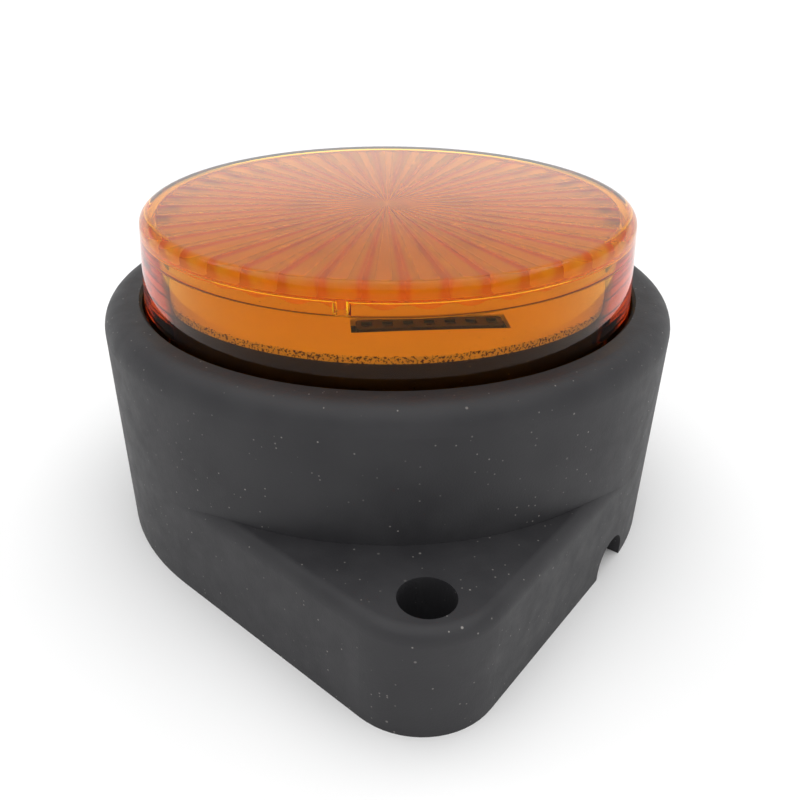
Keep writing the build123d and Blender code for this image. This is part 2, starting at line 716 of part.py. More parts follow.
def make_terminal_screws():
    screws = []
    for y in terminal_ways():
        screw = rod(CLAMP_SCREW_RADIUS, below(CLAMP_HEAD_HIGH), below(CLAMP_SCREW_HIGH),
                    TERMINAL_X, y)
        screw += rod(CLAMP_HEAD_RADIUS, below(CLAMP_HEAD_LOW), below(CLAMP_HEAD_HIGH),
                     TERMINAL_X, y)
        screw -= block(2 * CLAMP_HEAD_RADIUS + OVERRUN, CLAMP_SLOT_WIDTH,
                       below(CLAMP_HEAD_LOW) - OVERRUN, below(CLAMP_HEAD_LOW) + CLAMP_SLOT_DEPTH,
                       TERMINAL_X, y, CLAMP_SLOT_TURN)
        screws.append(screw)
    return group(screws)


# ---------------------------------------------------------------- back of the lamp
def make_threaded_inserts():
    inserts = []
    waist = PLATE_TOP + INSERT_LENGTH / 2
    for angle in QUARTERS:
        x, y = on_circle(INSERT_CIRCLE, angle)
        insert = ring(PLATE_SCREW_RADIUS + RUNNING_GAP, INSERT_RADIUS, PLATE_TOP,
                      PLATE_TOP + INSERT_LENGTH, x, y)
        insert -= ring(INSERT_RADIUS - INSERT_GROOVE_DEPTH, INSERT_RADIUS + OVERRUN,
                       waist - INSERT_GROOVE_HEIGHT / 2, waist + INSERT_GROOVE_HEIGHT / 2, x, y)
        inserts.append(insert)
    return group(inserts)


def make_back_gasket():
    return ring(BACK_GASKET_INNER, BACK_GASKET_OUTER, PLATE_TOP, LEDGE)


def make_back_plate():
    plate = bevel_bottom(rod(PLATE_RADIUS, PLATE_BOTTOM, PLATE_TOP), PLATE_BEVEL)
    plate += ring(GUARD_INNER, GUARD_OUTER, PLATE_BOTTOM - GUARD_HEIGHT,
                  PLATE_BOTTOM + RUNNING_GAP, GROMMET_X, GROMMET_Y)
    holes = [(GROMMET_NECK + RUNNING_GAP, GROMMET_X, GROMMET_Y),
             (VENT_NECK + RUNNING_GAP, VENT_X, VENT_Y)]
    holes += [(PLATE_SCREW_RADIUS + PLATE_SCREW_PLAY, *on_circle(INSERT_CIRCLE, angle))
              for angle in QUARTERS]
    for radius, x, y in holes:
        plate -= rod(radius, PLATE_BOTTOM - OVERRUN, PLATE_TOP + OVERRUN, x, y)
    return plate


def make_back_plate_screws():
    screws = []
    low = PLATE_BOTTOM - HEAD_HEIGHT
    for angle, cross_turn in zip(QUARTERS, HEAD_CROSS_TURNS):
        x, y = on_circle(INSERT_CIRCLE, angle)
        head = rod(HEAD_RADIUS, low, PLATE_BOTTOM, x, y)
        head = fillet(head.edges().group_by(Axis.Z)[0], HEAD_ROUND)
        screw = head + rod(PLATE_SCREW_RADIUS, PLATE_BOTTOM, PLATE_TOP + INSERT_LENGTH, x, y)
        for cross in CROSS:
            screw -= block(HEAD_CROSS_LENGTH, HEAD_CROSS_WIDTH, low - OVERRUN,
                           low + HEAD_CROSS_DEPTH, x, y, cross + cross_turn)
        screws.append(screw)
    return group(screws)


def make_cable_grommet():
    low = ring(GROMMET_BORE, GROMMET_FLANGE, GROMMET_LOW, PLATE_BOTTOM, GROMMET_X, GROMMET_Y)
    neck = ring(GROMMET_BORE, GROMMET_NECK, PLATE_BOTTOM, PLATE_TOP, GROMMET_X, GROMMET_Y)
    high = ring(GROMMET_BORE, GROMMET_UPPER_FLANGE, PLATE_TOP, GROMMET_HIGH,
                GROMMET_X, GROMMET_Y)
    low = fillet(low.edges().group_by(Axis.Z)[0].sort_by(SortBy.LENGTH)[-1], GROMMET_ROUND)
    return low + neck + high


def make_vent_plug():
    plug = rod(VENT_FLANGE, PLATE_BOTTOM - VENT_FLANGE_HEIGHT, PLATE_BOTTOM, VENT_X, VENT_Y)
    plug = fillet(plug.edges().group_by(Axis.Z)[0], VENT_ROUND)
    plug += rod(VENT_NECK, PLATE_BOTTOM, VENT_TOP, VENT_X, VENT_Y)
    plug -= rod(MEMBRANE_RADIUS + RUNNING_GAP, PLATE_BOTTOM, VENT_TOP + OVERRUN, VENT_X, VENT_Y)
    for angle in QUARTERS:
        x, y = on_circle(VENT_HOLE_CIRCLE, angle)
        plug -= rod(VENT_HOLE_RADIUS, PLATE_BOTTOM - VENT_FLANGE_HEIGHT - OVERRUN, VENT_TOP,
                    VENT_X + x, VENT_Y + y)
    return plug


def make_vent_membrane():
    return rod(MEMBRANE_RADIUS, PLATE_BOTTOM, PLATE_BOTTOM + MEMBRANE_THICKNESS, VENT_X, VENT_Y)


NODES = {
    "housing": make_housing,
    "lens": make_lens,
    "lens_gasket": make_lens_gasket,
    "reflector": make_reflector,
    "led_board": make_led_board,
    "driver_board": make_driver_board,
    "board_spacers": make_board_spacers,
    "spacer_screws": make_spacer_screws,
    "header_body": make_header_body,
    "header_socket": make_header_socket,
    "header_pins": make_header_pins,
    "led_packages": make_led_packages,
    "led_domes": make_led_domes,
    "board_screws": make_board_screws,
    "driver_chip": make_driver_chip,
    "switching_transistor": make_switching_transistor,
    "current_resistors": make_current_resistors,
    "ceramic_capacitors": make_ceramic_capacitors,
    "electrolytic_capacitor": make_electrolytic_capacitor,
    "power_inductor": make_power_inductor,
    "protection_diodes": make_protection_diodes,
    "fuse": make_fuse,
    "terminal_block": make_terminal_block,
    "terminal_clamps": make_terminal_clamps,
    "terminal_screws": make_terminal_screws,
    "threaded_inserts": make_threaded_inserts,
    "back_gasket": make_back_gasket,
    "back_plate": make_back_plate,
    "back_plate_screws": make_back_plate_screws,
    "cable_grommet": make_cable_grommet,
    "vent_plug": make_vent_plug,
    "vent_membrane": make_vent_membrane,
}

os.makedirs("parts", exist_ok=True)
for node, make in NODES.items():
    export_step(make(), f"parts/{node}.step")
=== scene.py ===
import math

import bmesh
import bpy
from mathutils import Matrix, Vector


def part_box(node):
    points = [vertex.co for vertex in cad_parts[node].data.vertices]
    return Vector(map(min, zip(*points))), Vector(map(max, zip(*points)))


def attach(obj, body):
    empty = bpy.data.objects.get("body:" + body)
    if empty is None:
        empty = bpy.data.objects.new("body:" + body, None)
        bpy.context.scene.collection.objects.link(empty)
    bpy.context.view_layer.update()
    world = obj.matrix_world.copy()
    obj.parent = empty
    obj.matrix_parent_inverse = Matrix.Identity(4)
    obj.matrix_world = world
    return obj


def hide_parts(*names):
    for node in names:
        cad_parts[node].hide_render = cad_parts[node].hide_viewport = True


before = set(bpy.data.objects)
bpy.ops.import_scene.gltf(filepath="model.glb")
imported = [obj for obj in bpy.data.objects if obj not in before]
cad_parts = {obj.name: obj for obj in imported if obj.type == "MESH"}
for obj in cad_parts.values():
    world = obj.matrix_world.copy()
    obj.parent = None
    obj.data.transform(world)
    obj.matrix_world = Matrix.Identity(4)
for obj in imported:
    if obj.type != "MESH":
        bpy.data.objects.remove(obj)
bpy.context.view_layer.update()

MM = 0.001

# The lens, from its outer box inwards
LENS_LOW, LENS_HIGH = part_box("lens")
LENS_RADIUS = LENS_HIGH.x
LENS_TOP = LENS_HIGH.z
LENS_BOTTOM = LENS_LOW.z
LENS_TOP_RADIUS = LENS_RADIUS - 0.85 * MM
LENS_ROUND = 1.5 * MM
LENS_FOOT_ROUND = 0.3 * MM
LENS_BORE = LENS_RADIUS - 2.4 * MM
LENS_UPPER_BORE = LENS_RADIUS - 1.8 * MM
LENS_STEP = LENS_TOP - 4.1 * MM
STEP_ROUND = 0.25 * MM
RIM_HEIGHT = 33.4 * MM
FLUTE_CEILING = LENS_TOP - 2.4 * MM
FLUTE_RADIUS = LENS_RADIUS - 3.0 * MM
FLUTE_EDGE = 0.05 * MM
FLUTE_HUB = 1.2 * MM
FLUTE_DEPTH = 1.3 * MM
FLUTE_LIP = 0.18 * MM
FLUTE_COUNT = 40
FLUTE_STEPS = 18
FLUTE_FIRST_VALLEY = math.radians(-91.47)
RIB_ANGLE = math.radians(-103.9)
RIB_RADIUS = 0.85 * MM
LUG_ANGLES = [math.radians(angle) for angle in (-25, 155)]
LUG_HALF_WIDTH = math.radians(7)
LUG_BORE = 31.0 * MM
LUG_BOTTOM = LENS_BOTTOM + 1.3 * MM
LUG_TOP = LUG_BOTTOM + 2.0 * MM

# Where rings of the lens's mesh lie: shares of each face's length, turns of each small round, and
# the gap between a corner and the ring that holds its shading
TOP_SHARES = (0.06, 0.2, 0.4, 0.6, 0.8, 0.93, 0.995)
WALL_SHARES = (0.02, 0.35, 0.7, 0.98)
END_SHARES = (0.1, 0.5, 1.0)
FLUTE_SHARES = (1.0, 0.995, 0.92, 0.84, 0.76, 0.68, 0.6, 0.52, 0.44, 0.37, 0.3, 0.24, 0.18,
                0.13, 0.09, 0.06)
ROUND_TURNS = [math.radians(turn) for turn in range(0, 91, 15)]
SUPPORT = 0.04 * MM
SHARP_EDGE = math.radians(28.0)

# The lens's roughness: on its polished faces, on the flutes' undersides, and on their ends and
# the step
POLISH = 0.02
SATIN = 0.4
FROST = 0.42

# The share of light scattered by the flutes' undersides, and by their ends and the step
SATIN_HAZE = 0.36
FROST_HAZE = 0.45

# The lens's tint, the deeper red painted along the valleys as painted shade for the flutes'
# refraction stripes, the shares of a valley's rise between which the one turns into the other,
# and what the lens's thickness absorbs
AMBER = (1.0, 0.6, 0.02)
VALLEY_PAINTED_SHADE = (0.9, 0.26, 0.03)
VALLEY_RISE = (0.3, 0.6)
LENS_ABSORPTION = (0.995, 0.92, 0.3, 1.0)
LENS_DENSITY = 350.0

# The reflector's darker, ragged outer edge, between two radii
DARK_EDGE_RADII = (31.8 * MM, 32.3 * MM)

# Colours used by more than one finish, or laid over one
DUST = (0.35, 0.33, 0.31)
LENS_DIRT = (0.25, 0.12, 0.03)
DARK_EDGE = (0.08, 0.055, 0.045)
TIN = (0.72, 0.72, 0.7)
TIN_ROUGHNESS = 0.28

# Floor, world and light
FLOOR_REACH = 1.5
WALL_ELEVATION = (13.0, 19.0)
WALL_BRIGHTNESS = 1.2
ROOM_BRIGHTNESS = 0.5
TOP_HEIGHT = 3.0
TOP_SIZE = 5.0
TOP_POWER = 115.0

# Camera: where it stands, its turns in radians, and its lens in millimetres
CAMERA_DISTANCE = 119.1 * MM
CAMERA_HEIGHT = 77.4 * MM
CAMERA_SIDE = 0.0955
CAMERA_PAN = -0.0222
CAMERA_TILT = 0.5518
CAMERA_ROLL = -0.0028
CAMERA_LENS = 37.78
CAMERA_SENSOR = 36.0
CAMERA_SHIFT = (0.039, 0.0584)
CAMERA_CLIP = (0.005, 20.0)


# ---------------------------------------------------------------- shader helpers
class Shader:
    """A new material with its Principled shader, and short calls for the nodes that feed it."""

    def __init__(self, name, roughness=0.5, metallic=0.0):
        self.material = bpy.data.materials.new(name)
        self.material.use_nodes = True
        self.tree = self.material.node_tree
        self.tree.nodes.clear()
        self.output = self.tree.nodes.new("ShaderNodeOutputMaterial")
        self.main = self.tree.nodes.new("ShaderNodeBsdfPrincipled")
        self.tree.links.new(self.main.outputs["BSDF"], self.output.inputs["Surface"])
        self.main.inputs["Roughness"].default_value = roughness
        self.main.inputs["Metallic"].default_value = metallic
        self.place = self.tree.nodes.new("ShaderNodeTexCoord").outputs["Object"]

    def link(self, source, socket):
        """Feeds a socket from a node's output."""
        self.tree.links.new(source, socket)

    def noise(self, size, detail=3.0, roughness=0.5):
        """Noise whose patches are about size metres across."""
        node = self.tree.nodes.new("ShaderNodeTexNoise")
        node.inputs["Scale"].default_value = 1.0 / size
        node.inputs["Detail"].default_value = detail
        node.inputs["Roughness"].default_value = roughness
        self.link(self.place, node.inputs["Vector"])
        return node.outputs["Fac"]

    def cells(self, size, feature="F1"):
        """Node for Voronoi cells about size metres across."""
        node = self.tree.nodes.new("ShaderNodeTexVoronoi")
        node.feature = feature
        node.inputs["Scale"].default_value = 1.0 / size
        self.link(self.place, node.inputs["Vector"])
        return node

    def span(self, value, low, high, to_low=0.0, to_high=1.0):
        """Maps a value from one range to another, held at both ends."""
        node = self.tree.nodes.new("ShaderNodeMapRange")
        node.inputs["From Min"].default_value = low
        node.inputs["From Max"].default_value = high
        node.inputs["To Min"].default_value = to_low
        node.inputs["To Max"].default_value = to_high
        self.link(value, node.inputs["Value"])
        return node.outputs["Result"]

    def band(self, value, low, high):
        """1 where a value lies between two others, 0 elsewhere."""
        return self.math("MULTIPLY", self.math("GREATER_THAN", value, low),
                         self.math("LESS_THAN", value, high))

    def math(self, operation, first, second):
        """Result of an operation on two values, each a number or a node's output."""
        node = self.tree.nodes.new("ShaderNodeMath")
        node.operation = operation
        for socket, value in zip(node.inputs, (first, second)):
            if isinstance(value, (int, float)):
                socket.default_value = value
            else:
                self.link(value, socket)
        return node.outputs["Value"]

    def mix(self, factor, first, second):
        """Colour between two colours, each a tuple or a node's output."""
        node = self.tree.nodes.new("ShaderNodeMix")
        node.data_type = "RGBA"
        self.link(factor, node.inputs["Factor"])
        for socket, value in ((node.inputs[6], first), (node.inputs[7], second)):
            if isinstance(value, tuple):
                socket.default_value = (*value, 1.0)
            else:
                self.link(value, socket)
        return node.outputs[2]

    def bump(self, height, depth, strength=1.0):
        """Adds relief of a depth in metres, on top of any relief already there."""
        node = self.tree.nodes.new("ShaderNodeBump")
        node.inputs["Strength"].default_value = strength
        node.inputs["Distance"].default_value = depth
        self.link(height, node.inputs["Height"])
        socket = self.main.inputs["Normal"]
        if socket.is_linked:
            self.link(socket.links[0].from_socket, node.inputs["Normal"])
        self.link(node.outputs["Normal"], socket)

    def height(self):
        """The object's Z at the shaded point, in metres."""
        node = self.tree.nodes.new("ShaderNodeSeparateXYZ")
        self.link(self.place, node.inputs["Vector"])
        return node.outputs["Z"]

    def vector(self, operation, first, second=None):
        """Node for an operation on a vector output, and on a second, constant vector if given."""
        node = self.tree.nodes.new("ShaderNodeVectorMath")
        node.operation = operation
        self.link(first, node.inputs[0])
        if second is not None:
            node.inputs[1].default_value = second
        return node

    def radius(self):
        """The shaded point's distance from the object's Z axis, in metres."""
        flat = self.vector("MULTIPLY", self.place, (1.0, 1.0, 0.0)).outputs["Vector"]
        return self.vector("LENGTH", flat).outputs["Value"]


def specks(shader, size, share, radius):
    """1 on small round specks in a share of cells of a size, 0 elsewhere."""
    cell = shader.cells(size)
    near = shader.span(cell.outputs["Distance"], radius * 0.6, radius, 1.0, 0.0)
    split = shader.tree.nodes.new("ShaderNodeSeparateColor")
    shader.link(cell.outputs["Color"], split.inputs["Color"])
    chosen = shader.math("LESS_THAN", split.outputs["Red"], share)
    return shader.math("MULTIPLY", near, chosen)


# ---------------------------------------------------------------- materials
def moulded_plastic(name, dark, light, roughness, grain=0.25 * MM, relief=0.02 * MM, dust=0.0,
                    specular=0.5):
    """Moulded plastic: faint mottling, fine grain, uneven gloss and a little dust."""
    shader = Shader(name)
    shader.main.inputs["Specular IOR Level"].default_value = specular
    mottle = shader.span(shader.noise(6 * MM, 4.0), 0.35, 0.65)
    colour = shader.mix(mottle, dark, light)
    if dust:
        fine = specks(shader, 0.8 * MM, 0.22 * dust, 0.16)
        coarse = specks(shader, 2.6 * MM, 0.3 * dust, 0.075)
        both = shader.math("MAXIMUM", fine, coarse)
        patchy = shader.span(shader.noise(9 * MM), 0.4, 0.7, 0.15, 0.7)
        colour = shader.mix(shader.math("MULTIPLY", both, patchy), colour, DUST)
    shader.link(colour, shader.main.inputs["Base Color"])
    gloss = shader.noise(3 * MM, 5.0, 0.6)
    shader.link(shader.span(gloss, 0.3, 0.7, roughness - 0.07, roughness + 0.07),
                shader.main.inputs["Roughness"])
    shader.bump(shader.noise(grain, 2.0), relief)
    shader.bump(shader.noise(12 * MM, 2.0), 0.12 * MM, 0.3)
    return shader.material


def amber_glass():
    """Clear amber moulding compound, coloured through its thickness.

    The outside is polished, the flutes' undersides are satin and their ends are frosted. The
    deeper colour along the valleys between flutes is painted shade for the flutes' refraction
    stripes."""
    shader = Shader("amber_lens")
    shader.main.inputs["IOR"].default_value = 1.5
    shader.main.inputs["Specular Tint"].default_value = (0.3, 0.3, 0.3, 1.0)
    radius = shader.radius()
    height = shader.height()
    low = shader.band(height, LENS_STEP, FLUTE_CEILING)
    flutes = shader.math("MULTIPLY", shader.band(radius, -MM, FLUTE_RADIUS - FLUTE_EDGE), low)
    ends = shader.math("MULTIPLY", shader.band(radius, FLUTE_RADIUS - FLUTE_EDGE,
                                               FLUTE_RADIUS + 2 * FLUTE_EDGE), low)
    step = shader.math("MULTIPLY", shader.band(radius, LENS_BORE, LENS_UPPER_BORE - FLUTE_EDGE),
                       shader.band(height, LENS_STEP - STEP_ROUND, LENS_STEP + STEP_ROUND))
    frosted = shader.math("ADD", ends, step)

    above_crest = shader.math("SUBTRACT", height, FLUTE_CEILING - FLUTE_DEPTH)
    full_rise = shader.math("MULTIPLY", radius, (FLUTE_DEPTH - FLUTE_LIP) / FLUTE_RADIUS)
    # Deeper red along the valleys: painted shade that stands in for the flutes' refraction
    # stripes
    rise = shader.span(shader.math("DIVIDE", above_crest, full_rise), *VALLEY_RISE)
    amber_and_valley_shade = shader.mix(shader.math("MULTIPLY", flutes, rise), AMBER, VALLEY_PAINTED_SHADE)
    dirt = specks(shader, 3.2 * MM, 0.3, 0.05)
    shader.link(shader.mix(dirt, amber_and_valley_shade, LENS_DIRT), shader.main.inputs["Base Color"])

    satin = shader.span(flutes, 0.0, 1.0, POLISH, SATIN)
    rough = shader.math("MAXIMUM", satin, shader.math("MULTIPLY", frosted, FROST))
    shader.link(rough, shader.main.inputs["Roughness"])
    haze = shader.math("ADD", shader.math("MULTIPLY", flutes, SATIN_HAZE),
                       shader.math("MULTIPLY", frosted, FROST_HAZE))
    shader.link(shader.math("SUBTRACT", 1.0, haze), shader.main.inputs["Transmission Weight"])
    shader.bump(shader.noise(7 * MM, 2.0), 0.02 * MM, 0.5)

    volume = shader.tree.nodes.new("ShaderNodeVolumeAbsorption")
    volume.inputs["Color"].default_value = LENS_ABSORPTION
    volume.inputs["Density"].default_value = LENS_DENSITY
    shader.link(volume.outputs["Volume"], shader.output.inputs["Volume"])
    return shader.material


def clear_dome():
    """Soft clear resin over an LED die."""
    shader = Shader("led_dome_resin", roughness=0.05)
    shader.main.inputs["Transmission Weight"].default_value = 0.7
    shader.main.inputs["IOR"].default_value = 1.41
    shader.link(shader.mix(shader.noise(1 * MM), (0.95, 0.8, 0.35), (0.95, 0.7, 0.2)),
                shader.main.inputs["Base Color"])
    return shader.material


def metal(name, dark, light, roughness, grain=0.4 * MM, relief=0.006 * MM):
    """Metal with faint stains and fine tool marks."""
    shader = Shader(name, metallic=1.0)
    shader.link(shader.mix(shader.span(shader.noise(2.5 * MM, 5.0), 0.35, 0.7), dark, light),
                shader.main.inputs["Base Color"])
    shader.link(shader.span(shader.noise(1.2 * MM, 4.0), 0.3, 0.7, roughness - 0.08,
                            roughness + 0.12), shader.main.inputs["Roughness"])
    shader.bump(shader.noise(grain, 3.0), relief)
    return shader.material


def circuit_board():
    """Solder mask over copper: raised conductors show through the green."""
    shader = Shader("solder_mask")
    track = shader.span(shader.cells(5 * MM, "DISTANCE_TO_EDGE").outputs["Distance"], 0.1, 0.13)
    weave = shader.span(shader.noise(0.6 * MM, 2.0), 0.4, 0.6)
    base = shader.mix(weave, (0.012, 0.11, 0.045), (0.016, 0.14, 0.055))
    shader.link(shader.mix(track, (0.03, 0.2, 0.08), base), shader.main.inputs["Base Color"])
    shader.link(shader.span(weave, 0.0, 1.0, 0.28, 0.36), shader.main.inputs["Roughness"])
    shader.bump(track, 0.03 * MM)
    return shader.material


def white_reflector():
    """Smooth white moulding, faintly uneven in tone, darker in a ragged band at its outer edge.
    """
    shader = Shader("reflector_plastic", roughness=0.3)
    tone = shader.mix(shader.span(shader.noise(8 * MM), 0.3, 0.7), (0.86, 0.85, 0.82),
                      (0.92, 0.91, 0.89))
    # Dark, ragged band between two radii at the outer edge
    edge_limit = shader.span(shader.radius(), *DARK_EDGE_RADII, 0.72, 0.5)
    ragged_edge = shader.math("SUBTRACT", shader.noise(0.3 * MM, 3.0, 0.6), edge_limit)
    shader.link(shader.mix(shader.span(ragged_edge, -0.04, 0.05), tone, DARK_EDGE),
                shader.main.inputs["Base Color"])
    shader.bump(shader.noise(0.5 * MM), 0.01 * MM)
    return shader.material


def tinned(name, body, roughness, bare, tin):
    """Small moulded part with tinned leads or end caps: bare at one height, tin at the other."""
    shader = Shader(name)
    at_lead = shader.span(shader.height(), bare, tin)
    grain = shader.span(shader.noise(0.3 * MM, 3.0), 0.35, 0.65)
    lighter = tuple(min(1.0, 1.25 * value + 0.01) for value in body)
    shader.link(shader.mix(at_lead, shader.mix(grain, body, lighter), TIN),
                shader.main.inputs["Base Color"])
    shader.link(at_lead, shader.main.inputs["Metallic"])
    shader.link(shader.span(at_lead, 0.0, 1.0, roughness, TIN_ROUGHNESS),
                shader.main.inputs["Roughness"])
    shader.bump(shader.noise(0.15 * MM, 2.0), 0.008 * MM)
    return shader.material


def lead_heights():
    """Heights of a chip's bare body and of its leads, flat against the driver board."""
    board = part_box("driver_board")[0].z
    return board - 0.28 * MM, board - 0.18 * MM


def cap_heights(node):
    """Heights of a part's bare middle and of its end caps, which reach a hair lower."""
    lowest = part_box(node)[0].z
    return lowest + 0.02 * MM, lowest + 0.01 * MM


BLACK_PLASTIC = moulded_plastic("housing_plastic", (0.024, 0.0235, 0.026), (0.031, 0.0305, 0.033),
                                0.55, dust=1.0, specular=0.3)
PLATE_PLASTIC = moulded_plastic("plate_plastic", (0.014, 0.014, 0.015), (0.02, 0.02, 0.021), 0.55,
                                dust=0.5)
SOCKET_PLASTIC = moulded_plastic("socket_plastic", (0.012, 0.012, 0.012), (0.02, 0.02, 0.02), 0.5)
RUBBER = moulded_plastic("seal_rubber", (0.012, 0.012, 0.012), (0.022, 0.021, 0.02), 0.7,
                         grain=0.12 * MM)
NYLON = moulded_plastic("spacer_nylon", (0.6, 0.58, 0.5), (0.7, 0.68, 0.6), 0.45)
TERMINAL_PLASTIC = moulded_plastic("terminal_plastic", (0.02, 0.2, 0.07), (0.03, 0.26, 0.1), 0.4)
LED_PLASTIC = moulded_plastic("led_plastic", (0.8, 0.78, 0.7), (0.88, 0.86, 0.8), 0.4)
MEMBRANE = moulded_plastic("membrane_film", (0.75, 0.75, 0.74), (0.85, 0.85, 0.84), 0.8,
                           grain=0.06 * MM)
STEEL = metal("zinc_steel", (0.5, 0.5, 0.52), (0.68, 0.68, 0.68), 0.3)
BRASS = metal("brass", (0.6, 0.44, 0.18), (0.75, 0.58, 0.28), 0.28)
ALUMINIUM = metal("drawn_aluminium", (0.72, 0.72, 0.74), (0.82, 0.82, 0.83), 0.25)
CHIP = tinned("chip_epoxy", (0.012, 0.012, 0.012), 0.5, *lead_heights())
RESISTOR = tinned("resistor_chip", (0.02, 0.02, 0.025), 0.35, *cap_heights("current_resistors"))
CERAMIC = tinned("ceramic_chip", (0.35, 0.24, 0.14), 0.5, *cap_heights("ceramic_capacitors"))
FERRITE = moulded_plastic("ferrite", (0.05, 0.05, 0.052), (0.08, 0.08, 0.08), 0.6,
                          grain=0.1 * MM)
FUSE = tinned("fuse_ceramic", (0.7, 0.7, 0.66), 0.4, *cap_heights("fuse"))
BOARD = circuit_board()
WHITE = white_reflector()
DOME = clear_dome()

NODE_MATERIALS = {
    "housing": BLACK_PLASTIC,
    "lens_gasket": RUBBER,
    "reflector": WHITE,
    "led_board": BOARD,
    "driver_board": BOARD,
    "board_spacers": NYLON,
    "spacer_screws": STEEL,
    "header_body": SOCKET_PLASTIC,
    "header_socket": SOCKET_PLASTIC,
    "header_pins": BRASS,
    "led_packages": LED_PLASTIC,
    "led_domes": DOME,
    "board_screws": STEEL,
    "driver_chip": CHIP,
    "switching_transistor": CHIP,
    "current_resistors": RESISTOR,
    "ceramic_capacitors": CERAMIC,
    "electrolytic_capacitor": ALUMINIUM,
    "power_inductor": FERRITE,
    "protection_diodes": CHIP,
    "fuse": FUSE,
    "terminal_block": TERMINAL_PLASTIC,
    "terminal_clamps": BRASS,
    "terminal_screws": STEEL,
    "threaded_inserts": BRASS,
    "back_gasket": RUBBER,
    "back_plate": PLATE_PLASTIC,
    "back_plate_screws": STEEL,
    "cable_grommet": RUBBER,
    "vent_plug": PLATE_PLASTIC,
    "vent_membrane": MEMBRANE,
}


def dress(thing, material):
    """Gives an object one material and no other."""
    thing.data.materials.clear()
    thing.data.materials.append(material)


def add_object(name, data):
    """New object in the scene for a mesh, a light or a camera."""
    thing = bpy.data.objects.new(name, data)
    bpy.context.scene.collection.objects.link(thing)
    return thing


for node, material in NODE_MATERIALS.items():
    dress(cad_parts[node], material)


# ---------------------------------------------------------------- lens
def wrap(angle):
    """The same angle, between minus and plus half a turn."""
    return (angle + math.pi) % (2 * math.pi) - math.pi


def flute_drop(radius, angle):
    """How far a flute's round underside hangs below the ceiling at a point."""
    half_pitch = math.pi / FLUTE_COUNT
    across = ((angle - FLUTE_FIRST_VALLEY) / half_pitch) % 2 - 1
    half_width = radius * half_pitch
    depth = (FLUTE_DEPTH - FLUTE_LIP) * radius / FLUTE_RADIUS
    arc = (half_width ** 2 + depth ** 2) / (2 * depth)
    return FLUTE_DEPTH - arc + math.sqrt(arc ** 2 - (across * half_width) ** 2)


def upper_bore(angle):
    """Bore above the step, with the upright index rib on it."""
    across = wrap(angle - RIB_ANGLE) * LENS_UPPER_BORE
    if abs(across) >= RIB_RADIUS:
        return LENS_UPPER_BORE
    return LENS_UPPER_BORE - math.sqrt(RIB_RADIUS ** 2 - across ** 2)


def lug_bore(angle):
    """Bore at the height of the lugs."""
    on_lug = any(abs(wrap(angle - lug)) <= LUG_HALF_WIDTH for lug in LUG_ANGLES)
    return LUG_BORE if on_lug else LENS_BORE


